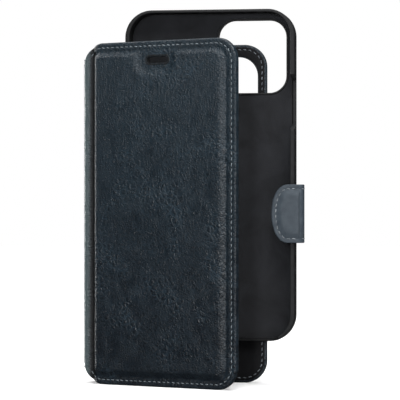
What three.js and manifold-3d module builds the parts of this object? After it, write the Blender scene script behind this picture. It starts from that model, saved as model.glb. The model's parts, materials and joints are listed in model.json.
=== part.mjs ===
// A folding phone wallet case with a detachable hard shell, in millimetres, +Z up.
//
// The case stands on its lower edge like a book that is just open. The back cover lies in the
// XZ plane, its outer face towards +Y, and the origin is the middle of its lower edge. The spine
// and the front cover fold round its left edge, and a clasp strap leaves its right edge. The
// hard shell stands in front of the back cover, shifted up and to the right of its docked place.
//
// Folds run along Z. A cover is built closed, flat in XZ, and a turned group opens it.
import * as THREE from "three";
import Module from "manifold-3d";
import { mergeVertices } from "three/addons/utils/BufferGeometryUtils.js";

// ---- driving dimensions -------------------------------------------------------------------
const phone = { width: 71.4, height: 144, depth: 8.1 };
const folio = { width: 78.8, height: 150, corner: 10, foldCorner: 9.5 };
const ply = { lining: 0.5, board: 1.2, leather: 0.9, foam: 1.1, glue: 0.05 };
const thinFold = 1.5; // leather and lining alone, where a cover folds
const foldGap = 1.3; // from a fold's axis to the first material on either side
const pastFold = 0.5; // a cutter's gap at a fold, so that it runs out past the material
const boardGap = { cover: 5.2, spine: 2.6 }; // from a fold's axis to the boards beside it
const spineBoard = 0.8; // thickness of the spine's stiffener
const spineShort = 7.5; // the spine stops this far below and above the covers
const openAngle = THREE.MathUtils.degToRad(24.2); // front cover, from closed

const shell = {
  sideWall: 1.6, endWall: 0.8, slack: 0.4, endSlack: 0.3, corner: 12, skin: 0.6, floor: 1.1,
  lining: 0.5, steel: 0.4,
};
const dockGap = 0.3; // shell to back cover, and pockets to shell rim when closed
const dockShift = { x: 14.3, z: 16.8 }; // from the docked place to where the shell stands
const cameraWindow = { width: 30, height: 32, corner: 7.5, margin: 4.5 };

const sewn = { inset: 2.5, strapInset: 1.7, width: 0.6, raise: 0.2 }; // sewn lines, as bands
const dockMagnet = { width: 12, height: 24, sunk: 0.1, slack: 0.2 };
const magnetPlaces = [[-24, 20], [12, 20], [-24, 76], [12, 76]]; // lower left corners
const windowGrow = { leather: 1, wall: 1.9, cover: 2.1, shell: 0.8 }; // round the camera window
const raisedPanel = { side: 5.2, end: 4.4, corner: 7 }; // from the front cover's edges
const keeper = { fromEdge: 4.3, width: 11.2, height: 16, corner: 5, sunk: 0.2, slack: 0.1 };
const shellSteel = { side: 8, low: 12, high: 100, corner: 2, slack: 0.1 };
const keyNotch = { low: 93.3, high: 117.2 };
const volumeNotch = { low: 84, high: 124 };
const portInset = 7; // the port opening, from the shell's sides
const pocket = { sheet: 0.45, fold: 7, edge: 4, low: 6, step: 2, corner: 5 };
const pocketTops = {
  money_pocket: 134, card_pocket_top: 112, card_pocket_middle: 98, card_pocket_bottom: 84,
};
const strap = { width: 25.6, thick: 1.5, leather: 0.75, gap: 1.05, rootStart: 22 };
const speakerSlot = { fromFold: 38.5, z: 141.7, width: 11.3, height: 3.1 };
const speakerRecess = { x0: 28.2, x1: 47.4, low: 136 };

// ---- derived places -----------------------------------------------------------------------
const coverThick = ply.lining + ply.board + ply.leather + 2 * ply.glue;
const backInner = -coverThick / 2; // y of the back cover's inner face
const backOuter = coverThick / 2;
const foldX = -folio.width / 2;
const backFold = new THREE.Vector2(foldX, backOuter - thinFold / 2);

const shellSize = {
  x: phone.width + 2 * (shell.slack + shell.sideWall),
  z: phone.height + 2 * (shell.endSlack + shell.endWall),
};
const shellRear = backInner - dockGap;
const trayRear = shellRear - shell.skin - ply.glue;
const trayFloor = trayRear - shell.floor;
const bayFloor = trayFloor - ply.glue - shell.lining;
const rim = bayFloor - phone.depth - 0.1;
const shellHome = { x: foldX + 2.6, z: (folio.height - shellSize.z) / 2 };

const pocketStack = Object.keys(pocketTops).length * pocket.sheet + ply.glue;
const frontInner = rim - dockGap - pocketStack; // y of the closed front cover's inner face
const frontOuter = frontInner - coverThick;
const frontFold = new THREE.Vector2(foldX, frontOuter + thinFold / 2);
const spineLength = backFold.y - frontFold.y;
const panelOuter = frontOuter - ply.foam;

// The strap's folds on its middle ply, seen from above: its root, the fold behind the shell's
// edge and the fold in front of it. Closed, the strap runs straight from its root to the front.
const strapRoot = new THREE.Vector2(folio.width / 2 + 4.6, backOuter + ply.glue + strap.thick / 2);
const rearLength = 10.3; // from the root to the rear fold
const rearFold = new THREE.Vector2(strapRoot.x + rearLength, strapRoot.y);
const tabFold = new THREE.Vector2(56.8, rim - 0.35 - strap.thick / 2);
const sideAngle = Math.atan2(rearFold.y - tabFold.y, tabFold.x - rearFold.x);
const closedTabY = panelOuter - 0.2 - strap.thick / 2;
const sideLength = strapRoot.y - closedTabY - rearLength;
const frontLength = rearFold.distanceTo(tabFold) - sideLength;
const foldLength = 3.4; // from the front fold to the line where the tab lifts
const tabLength = 10.5; // from there to its round end
const tabCore = 0.7; // extra thickness of the tab over its magnet
const claspMagnet = { x0: 1.6, x1: 7, low: 68, high: 82, slack: 0.1 };

// ---- materials ----------------------------------------------------------------------------
function finish(color, roughness, metalness = 0) {
  return new THREE.MeshStandardMaterial({ color, roughness, metalness });
}
const navyLeather = finish(0x232d38, 0.5);
const strapLeather = finish(0x4d565e, 0.55);
const blackLining = finish(0x0f1012, 0.8);
const microfibre = finish(0x1b1d20, 0.95);
const blackPlastic = finish(0x141517, 0.4);
const greyBoard = finish(0x6b6258, 0.9);
const whiteFoam = finish(0xd8d6cf, 0.95);
const steel = finish(0x9a9c9f, 0.35, 1);
const magnet = finish(0x5c5f63, 0.3, 1);
const thread = finish(0x74808c, 0.8);

// ---- solids -------------------------------------------------------------------------------
const wasm = await Module();
wasm.setup();
const ARC = 5; // curve divisions of a corner

function toSolid(geometry) {
  const bare = geometry.index ? geometry.toNonIndexed() : geometry.clone();
  bare.deleteAttribute("normal");
  bare.deleteAttribute("uv");
  const merged = mergeVertices(bare, 1e-4);
  return new wasm.Manifold(new wasm.Mesh({
    numProp: 3,
    vertProperties: merged.attributes.position.array,
    triVerts: new Uint32Array(merged.index.array),
  }));
}

function cut(geometry, ...cutters) {
  return toGeometry(cutters.reduce((solid, c) => solid.subtract(toSolid(c)), toSolid(geometry)));
}

function join(a, b) {
  return toGeometry(toSolid(a).add(toSolid(b)));
}

function toGeometry(solid) {
  const mesh = solid.getMesh();
  const made = new THREE.BufferGeometry();
  made.setAttribute("position", new THREE.BufferAttribute(mesh.vertProperties, 3));
  made.setIndex(new THREE.BufferAttribute(mesh.triVerts, 1));
  return made;
}

// An outline in XZ given thickness along Y, between two values of y.
function plate(outline, y0, y1, holes = []) {
  outline.holes = holes;
  const options = { depth: Math.abs(y1 - y0), bevelEnabled: false, curveSegments: ARC };
  const made = new THREE.ExtrudeGeometry(outline, options);
  return made.rotateX(Math.PI / 2).translate(0, Math.max(y0, y1), 0);
}

function box(x0, x1, y0, y1, z0, z1) {
  const made = new THREE.BoxGeometry(x1 - x0, y1 - y0, z1 - z0);
  return made.translate((x0 + x1) / 2, (y0 + y1) / 2, (z0 + z1) / 2);
}

function part(name, geometry, material) {
  const mesh = new THREE.Mesh(geometry, material);
  mesh.name = name;
  return mesh;
}

function group(x, y, turn, ...children) {
  const made = new THREE.Group();
  made.position.set(x, y, 0);
  made.rotation.z = turn;
  made.add(...children);
  return made;
}

// ---- outlines -----------------------------------------------------------------------------
function roundedRect(x0, z0, x1, z1, r, kind = THREE.Shape) {
  const s = new kind();
  s.moveTo(x0 + r, z0);
  s.lineTo(x1 - r, z0);
  s.absarc(x1 - r, z0 + r, r, -Math.PI / 2, 0, false);
  s.lineTo(x1, z1 - r);
  s.absarc(x1 - r, z1 - r, r, 0, Math.PI / 2, false);
  s.lineTo(x0 + r, z1);
  s.absarc(x0 + r, z1 - r, r, Math.PI / 2, Math.PI, false);
  s.lineTo(x0, z0 + r);
  s.absarc(x0 + r, z0 + r, r, Math.PI, 1.5 * Math.PI, false);
  return s;
}

// A cover seen flat: its fold is along x = fold, its outer corners are round, and its corners
// beside the fold are round arcs that the fold's gap cuts off. inset draws a smaller copy.
function coverOutline(fold, inset, gap) {
  const r = folio.corner - inset;
  const left = fold + folio.foldCorner;
  const right = fold + folio.width - folio.corner;
  const low = folio.corner;
  const high = folio.height - folio.corner;
  const turn = Math.acos((folio.foldCorner - gap) / r);
  const s = new THREE.Shape();
  s.absarc(left, low, r, Math.PI + turn, 1.5 * Math.PI, false);
  s.absarc(right, low, r, -Math.PI / 2, 0, false);
  s.absarc(right, high, r, 0, Math.PI / 2, false);
  s.absarc(left, high, r, Math.PI / 2, Math.PI - turn, false);
  return s;
}

function windowOutline(x0, z0, grow, kind) {
  const w = cameraWindow;
  const [x1, z1] = [x0 + w.width, z0 + w.height];
  return roundedRect(x0 - grow, z0 - grow, x1 + grow, z1 + grow, w.corner + grow, kind);
}

function speakerOutline(grow, kind = THREE.Path) {
  const w = speakerSlot.width / 2 + grow;
  const h = speakerSlot.height / 2 + grow;
  return roundedRect(speakerSlot.fromFold - w, speakerSlot.z - h, speakerSlot.fromFold + w,
    speakerSlot.z + h, h - 0.01, kind);
}

// A sewn line round a cover's three free sides, as a narrow band.
function seamBand(fold) {
  const startGap = 6; // the line starts clear of the fold
  const outer = coverOutline(fold, sewn.inset, startGap).getPoints(ARC);
  const inner = coverOutline(fold, sewn.inset + sewn.width, startGap).getPoints(ARC).reverse();
  return new THREE.Shape([...outer, ...inner]);
}

// ---- back cover ---------------------------------------------------------------------------
const dockedWindow = {
  x: shellHome.x + shellSize.x - cameraWindow.margin - cameraWindow.width,
  z: shellHome.z + shellSize.z - cameraWindow.margin - cameraWindow.height,
};
const strapLow = (folio.height - strap.width) / 2;
const strapHigh = strapLow + strap.width;

function backCover() {
  const leatherIn = backOuter - ply.leather;
  const boardIn = backInner + ply.lining + ply.glue;
  const opening = (grow, kind) => windowOutline(dockedWindow.x, dockedWindow.z, grow, kind);
  const hole = (grow) => opening(grow, THREE.Path);
  const inside = (gap) => coverOutline(foldX, ply.leather + 0.1, gap);
  const skin = plate(coverOutline(foldX, 0, foldGap), backInner, backOuter, [hole(windowGrow.leather)]);
  const hollow = plate(coverOutline(foldX, ply.leather, pastFold), backInner - 1, leatherIn);
  const windowWall = plate(opening(windowGrow.wall), backInner - 2, backOuter);
  const board = plate(inside(boardGap.cover), boardIn, boardIn + ply.board, [hole(windowGrow.cover)]);
  const lining = plate(inside(foldGap), backInner, backInner + ply.lining, [hole(windowGrow.cover)]);
  const magnets = magnetPlaces.map(([x, z]) => magnetBlock(x, z, boardIn));
  const seam = plate(seamBand(foldX), backInner - sewn.raise, backInner - ply.glue);
  return [
    part("back_leather", cut(skin, cut(hollow, windowWall)), navyLeather),
    part("back_board", cut(board, ...magnetPlaces.map(([x, z]) => magnetRoom(x, z, boardIn))), greyBoard),
    part("back_lining", lining, blackLining),
    ...magnets.map((m, i) => part(`dock_magnet_${i + 1}`, m, magnet)),
    ...strapAnchor(),
    part("back_seam_thread", seam, thread),
  ];
}

// A docking magnet, sunk in the back board.
function magnetBlock(x, z, boardIn) {
  const { width, height, sunk } = dockMagnet;
  return box(x, x + width, boardIn + sunk, boardIn + ply.board - sunk, z, z + height);
}

// The hole for it, right through the board.
function magnetRoom(x, z, boardIn) {
  const { width, height, slack } = dockMagnet;
  const [x1, z1] = [x + width + slack, z + height + slack];
  return box(x - slack, x1, boardIn - 1, boardIn + ply.board + 1, z - slack, z1);
}

// The strap's root lies on the outside of the back cover, sewn down round its inner end.
function strapAnchor() {
  const y = backOuter + ply.glue;
  const top = y + strap.thick;
  const sewnEnd = strap.rootStart + 14; // the sewn line stops here, short of the cover's edge
  const { strapInset: inset, width, raise } = sewn;
  const seam = cut(plate(anchorOutline(inset), top + ply.glue, top + ply.glue + raise),
    plate(anchorOutline(inset + width), top - 1, top + 1),
    box(sewnEnd, strapRoot.x, top - 1, top + 1, 0, folio.height));
  return [
    part("strap_anchor", plate(anchorOutline(0), y, top), strapLeather),
    part("strap_anchor_thread", seam, thread),
  ];
}

function anchorOutline(inset) {
  const x0 = strap.rootStart + inset;
  const x1 = strapRoot.x - strap.gap - inset;
  const [low, high] = [strapLow + inset, strapHigh - inset];
  const round = 6; // how far the inner end's curve reaches
  const s = new THREE.Shape();
  s.moveTo(x1, low);
  s.lineTo(x1, high);
  s.lineTo(x0 + round, high);
  s.bezierCurveTo(x0, high, x0, low, x0 + round, low);
  return s;
}

// ---- spine --------------------------------------------------------------------------------
// Built with its back fold at y = 0, running towards -Y, outer face towards -X.
function spine() {
  const z0 = spineShort;
  const z1 = folio.height - spineShort;
  const outer = -thinFold / 2;
  const leatherIn = outer + ply.leather;
  const boardIn = leatherIn + ply.glue;
  const boardOut = boardIn + spineBoard;
  const liningIn = boardOut + ply.glue;
  const leather = box(outer, leatherIn, foldGap - spineLength, -foldGap, z0, z1);
  const [y0, y1] = [boardGap.spine - spineLength, -boardGap.spine];
  const board = box(boardIn, boardOut, y0, y1, z0 + 1, z1 - 1);
  const lining = box(liningIn, liningIn + ply.lining, y0, y1, z0, z1);
  return [
    part("spine_leather", leather, navyLeather),
    part("spine_board", board, greyBoard),
    part("spine_lining", lining, blackLining),
  ];
}

// ---- front cover --------------------------------------------------------------------------
// Built closed, with its fold at x = 0 and y = 0, outer face towards -Y.
function frontCover() {
  const inner = frontInner - frontFold.y;
  const outer = frontOuter - frontFold.y;
  const boardOut = outer + ply.leather + ply.glue;
  const inside = (gap) => coverOutline(0, ply.leather + 0.1, gap);
  const boardHoles = [speakerOutline(2), keeperOutline(keeper.slack, THREE.Path)];
  const board = plate(inside(boardGap.cover), boardOut, boardOut + ply.board, boardHoles);
  const keeperPlate = plate(keeperOutline(0), boardOut + keeper.sunk, boardOut + ply.board - keeper.sunk);
  const lining = plate(inside(foldGap), inner - ply.lining, inner, [speakerOutline(2)]);
  const seam = plate(seamBand(0), outer - ply.glue - sewn.raise, outer - ply.glue);
  return [
    ...paddedFace(outer, inner),
    part("front_board", board, greyBoard),
    part("clasp_keeper_plate", keeperPlate, steel),
    part("front_lining", lining, blackLining),
    ...pocketSheets(inner),
    part("front_seam_thread", seam, thread),
  ];
}

// The outer leather, raised over the foam but for the place round the speaker slot.
function paddedFace(outer, inner) {
  const leatherIn = outer + ply.leather;
  const skin = plate(coverOutline(0, 0, foldGap), outer, inner, [speakerOutline(0)]);
  const hollow = plate(coverOutline(0, ply.leather, pastFold), leatherIn, inner + 1);
  const slotWall = plate(speakerOutline(1.2, THREE.Shape), outer, inner + 2);
  const shellOfCover = cut(skin, cut(hollow, slotWall));
  const raised = cut(plate(panelOutline(0), outer + 0.3, outer - ply.foam),
    recessCutter(0, outer - 3, outer));
  const room = cut(plate(panelOutline(0.8), leatherIn + 0.2, leatherIn - ply.foam),
    recessCutter(1, outer - 3, leatherIn + 1));
  const foam = cut(plate(panelOutline(0.9), leatherIn, leatherIn - ply.foam + ply.glue),
    recessCutter(1.1, outer - 3, leatherIn + 1));
  return [
    part("front_leather", cut(join(shellOfCover, raised), room), navyLeather),
    part("front_foam", foam, whiteFoam),
  ];
}

// The raised panel seen flat, inset drawing a smaller copy.
function panelOutline(inset) {
  const side = raisedPanel.side + inset;
  const end = raisedPanel.end + inset;
  return roundedRect(side, end, folio.width - side, folio.height - end, raisedPanel.corner - inset / 2);
}

// The place round the speaker slot where the panel's padding is pressed flat.
function recessCutter(grow, y0, y1) {
  const { x0, x1, low } = speakerRecess;
  return box(x0 - grow, x1 + grow, y0, y1, low - grow, folio.height);
}

// The clasp's steel plate, under the place where the closed tab lies.
function keeperOutline(grow, kind) {
  const x1 = folio.width - keeper.fromEdge;
  const z0 = (folio.height - keeper.height) / 2;
  return roundedRect(x1 - keeper.width - grow, z0 - grow, x1 + grow, z0 + keeper.height + grow,
    keeper.corner + grow, kind);
}

// The money pocket and three card pockets, each ply in front of the last and shorter than it.
function pocketSheets(inner) {
  return Object.entries(pocketTops).map(([name, top], i) => {
    const y = inner + ply.glue + i * pocket.sheet;
    const inset = i ? pocket.step : 0;
    const outline = roundedRect(pocket.fold + inset, pocket.low + inset,
      folio.width - pocket.edge - inset, top, pocket.corner);
    return part(name, plate(outline, y, y + pocket.sheet - ply.glue), blackLining);
  });
}

// ---- hard shell ---------------------------------------------------------------------------
function shellWindow(grow) {
  const x = shellSize.x - cameraWindow.margin - cameraWindow.width;
  const z = shellSize.z - cameraWindow.margin - cameraWindow.height;
  return windowOutline(x, z, grow, THREE.Path);
}

// The shell seen flat, smaller by an inset at its sides and another at its ends.
function shellOutline(side, end) {
  return roundedRect(side, end, shellSize.x - side, shellSize.z - end, shell.corner - side);
}

function steelOutline(grow) {
  const side = shellSteel.side - grow;
  return roundedRect(side, shellSteel.low - grow, shellSize.x - side, shellSteel.high + grow,
    shellSteel.corner + grow);
}

function shellTray() {
  const { x } = shellSize;
  const side = shell.sideWall;
  const end = shell.endWall;
  const notch = (x0, x1, { low, high }) => box(x0, x1, rim - 1, bayFloor - 1, low, high);
  return cut(plate(shellOutline(0, 0), rim, trayRear, [shellWindow(0)]),
    plate(shellOutline(side, end), rim - 1, trayFloor),
    plate(steelOutline(shellSteel.slack), trayFloor - 1, trayFloor + shell.steel + ply.glue),
    notch(x - side - 1, x + 1, keyNotch),
    notch(-1, side + 1, volumeNotch),
    box(portInset, x - portInset, rim - 1, bayFloor + 0.2, -1, end + 5));
}

function hardShell() {
  const slack = 0.6; // the lining stops short of the rims
  const opening = windowGrow.shell;
  const lining = plate(shellOutline(shell.sideWall + slack, shell.endWall + slack),
    bayFloor, bayFloor + shell.lining, [shellWindow(opening)]);
  const skin = plate(shellOutline(0.8, 0.8), shellRear - shell.skin, shellRear, [shellWindow(opening)]);
  const steelPlate = plate(steelOutline(0), trayFloor + ply.glue, trayFloor + shell.steel);
  return [
    part("shell_tray", shellTray(), blackPlastic),
    part("shell_steel_plate", steelPlate, steel),
    part("shell_lining", lining, microfibre),
    part("shell_back_skin", skin, navyLeather),
  ];
}

// ---- clasp strap --------------------------------------------------------------------------
// A straight run of strap from its fold at x = 0 to the next fold: leather outside, lining in.
function strapRun(name, length) {
  const half = strap.thick / 2;
  const layer = (y0, y1) => box(strap.gap, length - strap.gap, y0, y1, strapLow, strapHigh);
  return [
    part(`${name}_leather`, layer(half - strap.leather, half), strapLeather),
    part(`${name}_lining`, layer(-half, half - strap.leather - ply.glue), blackLining),
  ];
}

// The D-shaped end: a half-round outline from the line where it lifts.
function tabOutline(inset) {
  const half = strap.width / 2 - inset;
  const middle = folio.height / 2;
  const tip = tabLength - inset;
  const start = strap.gap + inset;
  const shoulder = tip - 2.5; // where the top and bottom edges begin to turn
  const rise = half * 0.62; // how far the round end stays near its tip
  const s = new THREE.Shape();
  s.moveTo(start, middle - half);
  s.bezierCurveTo(shoulder, middle - half, tip, middle - rise, tip, middle);
  s.bezierCurveTo(tip, middle + rise, shoulder, middle + half, start, middle + half);
  return s;
}

function tab() {
  const half = strap.thick / 2;
  const liningTop = -half + strap.leather - ply.glue;
  const coreTop = half - strap.leather + tabCore;
  const top = coreTop + strap.leather;
  const { strapInset: inset, width, raise } = sewn;
  const { x0, x1, low, high, slack } = claspMagnet;
  const room = box(x0 - slack, x1 + slack, liningTop - 1, coreTop, low - slack, high + slack);
  const seam = cut(plate(tabOutline(inset), top + ply.glue, top + ply.glue + raise),
    plate(tabOutline(inset + width), top - 1, top + 1),
    box(0, strap.gap + 2.5, top - 1, top + 1, 0, folio.height));
  return [
    part("strap_tab_leather", cut(plate(tabOutline(0), liningTop + ply.glue, top), room), strapLeather),
    part("strap_tab_lining", plate(tabOutline(0), -half, liningTop), blackLining),
    part("strap_magnet", box(x0, x1, liningTop + ply.glue, coreTop - slack, low, high), magnet),
    part("strap_tab_thread", seam, thread),
  ];
}

function claspStrap() {
  const frontTurn = sideAngle - Math.PI;
  const lift = group(foldLength, 0, 0, ...tab());
  const fold = group(frontLength, 0, frontTurn, ...strapRun("strap_fold", foldLength), lift);
  const front = group(sideLength, 0, 0, ...strapRun("strap_front", frontLength), fold);
  const side = group(rearLength, 0, -sideAngle, ...strapRun("strap_side", sideLength), front);
  return group(strapRoot.x, strapRoot.y, 0, ...strapRun("strap_rear", rearLength), side);
}

// ---- assembly -----------------------------------------------------------------------------
const shellGroup = group(shellHome.x + dockShift.x, 0, 0, ...hardShell());
shellGroup.position.z = shellHome.z + dockShift.z;

const root = new THREE.Group();
root.add(
  group(0, 0, 0, ...backCover()),
  group(backFold.x, backFold.y, 0, ...spine(), group(0, -spineLength, -openAngle, ...frontCover())),
  shellGroup,
  claspStrap(),
);

export default root;
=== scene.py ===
"""A folding phone wallet case with a detachable hard shell, standing open like a book.

Lengths are in millimetres until a mesh is made. A cover is described by how far a point is along
it from its fold, how high it is, and how far it stands out from the middle line seen from above.
"""
import json
import math
import random

import bmesh
import bpy
import numpy as np
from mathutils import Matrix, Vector, noise


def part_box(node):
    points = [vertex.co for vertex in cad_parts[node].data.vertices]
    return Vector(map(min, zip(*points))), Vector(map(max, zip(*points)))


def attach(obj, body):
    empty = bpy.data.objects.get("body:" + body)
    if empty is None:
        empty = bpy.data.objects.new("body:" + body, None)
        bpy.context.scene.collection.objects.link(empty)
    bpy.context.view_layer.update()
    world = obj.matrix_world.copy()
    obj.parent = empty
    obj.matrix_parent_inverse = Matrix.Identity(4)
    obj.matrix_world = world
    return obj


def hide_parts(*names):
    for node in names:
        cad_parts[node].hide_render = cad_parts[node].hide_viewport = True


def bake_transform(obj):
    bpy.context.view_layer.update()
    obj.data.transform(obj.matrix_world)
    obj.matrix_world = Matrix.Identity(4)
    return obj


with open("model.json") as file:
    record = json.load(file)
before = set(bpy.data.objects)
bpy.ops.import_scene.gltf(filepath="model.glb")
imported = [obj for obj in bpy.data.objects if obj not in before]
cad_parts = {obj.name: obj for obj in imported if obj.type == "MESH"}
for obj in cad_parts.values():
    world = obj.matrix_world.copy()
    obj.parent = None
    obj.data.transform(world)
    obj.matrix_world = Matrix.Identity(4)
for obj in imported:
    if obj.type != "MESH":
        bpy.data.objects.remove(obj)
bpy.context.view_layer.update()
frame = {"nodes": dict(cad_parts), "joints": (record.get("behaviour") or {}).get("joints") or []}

MM = 0.001
UV_MM = 100.0  # millimetres to one unit of the texture map
QUARTER = math.pi / 2
joints = {j["name"]: j for j in frame["joints"]}


def fold_place(name):
    """Where a fold's axis is, seen from above."""
    return np.array(joints[name]["pos_m"][:2]) / MM


def box_mm(node):
    lo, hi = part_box(node)
    return np.array(lo) / MM, np.array(hi) / MM


# ---- sizes read from the frame --------------------------------------------------------------
BACK_FOLD = fold_place("back_fold")
FRONT_FOLD = fold_place("front_fold")
OPEN_ANGLE = -math.radians(joints["front_fold"]["range_deg"][0])
cover_lo, cover_hi = box_mm("back_leather")
WIDTH = cover_hi[0] - BACK_FOLD[0]
HEIGHT = cover_hi[2]
BACK_FACE = cover_hi[1] - BACK_FOLD[1]  # a cover's outer face, from its fold's axis
INNER_FACE = BACK_FACE - (cover_hi[1] - cover_lo[1])
SPINE_LENGTH = BACK_FOLD[1] - FRONT_FOLD[1]
SPINE_END = box_mm("spine_leather")[0][2]
STRAP_FOLDS = [fold_place(n) for n in (
    "strap_root_fold", "strap_rear_fold", "strap_side_fold", "strap_front_fold", "tab_lift")]
strap_lo, strap_hi = box_mm("strap_rear_leather")
tray_lo, tray_hi = box_mm("shell_tray")
SHELL_FLOOR = box_mm("shell_lining")[1][1] + 0.05

# ---- driving dimensions ---------------------------------------------------------------------
CORNER = 10.0
FOLD_CORNER = 9.5
SKIN = 0.9
LINING = 0.5
STITCH_INSET = 2.2
STITCH_PITCH = 2.45
STITCH_LENGTH = 1.75
THREAD_RADIUS = 0.19
PANEL = {"fold": 5.2, "free": 5.7, "end": 4.5, "corner": 5.2, "raise": 1.1, "shoulder": 2.6}
RECESS = {"from": 28.2, "to": 47.4, "low": 136.0}
SLOT = {"middle": 38.5, "z": 141.7, "width": 11.3, "height": 3.1}
CREASE = {"at": 3.8, "width": 1.6, "depth": 1.1}
TRAY_CORNER = 12.0
WINDOW = {"width": 30.0, "height": 32.0, "corner": 7.5, "margin": 4.5}
KEY_NOTCH = (93.3, 117.2)
VOLUME_NOTCH = (84.0, 124.0)
PORT_INSET = 7.0
SHELL_FILLET = 1.6
# How much larger the camera window is in each layer, and where its cutters start and end.
WINDOW_GROW = {"leather": 1.0, "lining": 1.6, "microfibre": 1.0, "skin": 0.8}
THROUGH_COVER = (-9, 9)
THROUGH_SHELL = (-8, 5)
SLOT_GROW = 0.5
SLOT_REACH = 6
FOLD_RADIUS = 2.0
# Where each kind of strip starts on the flat map; the strap's lengths are this far apart on it.
MAP_START = {"cover": SPINE_LENGTH, "lining": 40.0, "strap": 60.0, "pocket": 90.0}
ARC_POINTS = 14
# Spacing of the columns across the crease beside the fold.
CREASE_STEPS = (0, 0.45, 0.9, 1.4, 1.9, 2.5, 3.0, 3.4, 3.8, 4.2, 4.6, 5.0, 5.5, 6.0, 6.6, 7.3, 8.2)
# Spacing of the points beside an edge, close together where the edge is round.
EDGE_STEPS = (0, 0.07, 0.18, 0.34, 0.55, 0.8, 1.1, 1.45, 1.75, 1.95, 2.2, 2.45, 2.65, 2.95,
              3.4, 3.9, 4.4, 4.9, 5.4, 5.9, 6.5, 7.2)


# ---- small helpers --------------------------------------------------------------------------
def smooth(t):
    t = np.clip(t, 0.0, 1.0)
    return t * t * (3 - 2 * t)


def bump(x, width):
    return np.exp(-(x / width) ** 2)


def edge_drop(depth, radius):
    """How far a rounded edge has fallen away at a depth inside the outline."""
    k = np.clip(depth / radius, 0.0, 1.0)
    return radius * (1 - np.sqrt(1 - (1 - k) ** 2))


def unit(v):
    v = np.array(v, float)
    return v / np.linalg.norm(v)


def arc(cx, cz, r, start, end):
    a = np.linspace(start, end, ARC_POINTS)
    return np.stack([cx + r * np.cos(a), cz + r * np.sin(a)], 1)


def spaced(length, pitch, start=(0,), end=(0,)):
    """Distances from 0 to length: given steps at each end and an even pitch between."""
    first = list(start)
    last = [length - e for e in reversed(end)]
    n = max(1, round((last[0] - first[-1]) / pitch))
    return np.array(first[:-1] + list(np.linspace(first[-1], last[0], n + 1)) + last[1:])


def soft_noise(a, b, pitch, seed):
    """Smooth noise between about -1 and 1 over two arrays of millimetres."""
    flat = [noise.noise(Vector((x / pitch, y / pitch, seed))) for x, y in zip(a.ravel(), b.ravel())]
    return np.array(flat).reshape(a.shape)


def depth_in_outline(a, b, outline):
    """Distance from each point to an open polyline."""
    p = np.stack([a.ravel(), b.ravel()], 1)
    best = np.full(len(p), 1e9)
    for start, end in zip(outline[:-1], outline[1:]):
        along = end - start
        t = np.clip(((p - start) @ along) / max(along @ along, 1e-9), 0, 1)
        best = np.minimum(best, np.hypot(*(p - start - t[:, None] * along).T))
    return best.reshape(a.shape)


def depth_in_rect(a, b, x0, x1, z0, z1, r):
    """Distance inside a rounded rectangle, negative outside it."""
    qx = np.abs(a - (x0 + x1) / 2) - ((x1 - x0) / 2 - r)
    qz = np.abs(b - (z0 + z1) / 2) - ((z1 - z0) / 2 - r)
    return r - (np.hypot(np.maximum(qx, 0), np.maximum(qz, 0)) + np.minimum(np.maximum(qx, qz), 0))


def add_to_scene(name, data):
    obj = bpy.data.objects.new(name, data)
    bpy.context.scene.collection.objects.link(obj)
    return obj


def make_object(name, points_mm, faces, materials, uv=None, sharp=38):
    mesh = bpy.data.meshes.new(name)
    mesh.from_pydata((np.asarray(points_mm, float) * MM).tolist(), [], faces)
    for m in materials:
        mesh.materials.append(m)
    if uv is not None:
        layer = mesh.uv_layers.new(name="flat")
        corner = np.zeros(len(mesh.loops), np.int32)
        mesh.loops.foreach_get("vertex_index", corner)
        layer.data.foreach_set("uv", (np.asarray(uv)[corner] / UV_MM).ravel())
    bm = bmesh.new()
    bm.from_mesh(mesh)
    bmesh.ops.remove_doubles(bm, verts=bm.verts, dist=1e-7)
    bmesh.ops.recalc_face_normals(bm, faces=bm.faces)
    bm.to_mesh(mesh)
    bm.free()
    shade(mesh, sharp)
    return add_to_scene(name, mesh)


def shade(mesh, sharp):
    mesh.polygons.foreach_set("use_smooth", [True] * len(mesh.polygons))
    mesh.set_sharp_from_angle(angle=math.radians(sharp))


def cut(obj, *cutters, sharp=38):
    """Cuts holes through a piece, and removes the cutters."""
    for cutter in cutters:
        mod = obj.modifiers.new("cut", "BOOLEAN")
        mod.operation = "DIFFERENCE"
        mod.solver = "EXACT"
        mod.object = cutter
        bpy.context.view_layer.update()
        graph = bpy.context.evaluated_depsgraph_get()
        made = bpy.data.meshes.new_from_object(obj.evaluated_get(graph))
        obj.modifiers.clear()
        obj.data = made
        bpy.data.objects.remove(cutter)
    shade(obj.data, sharp)
    return obj


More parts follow.
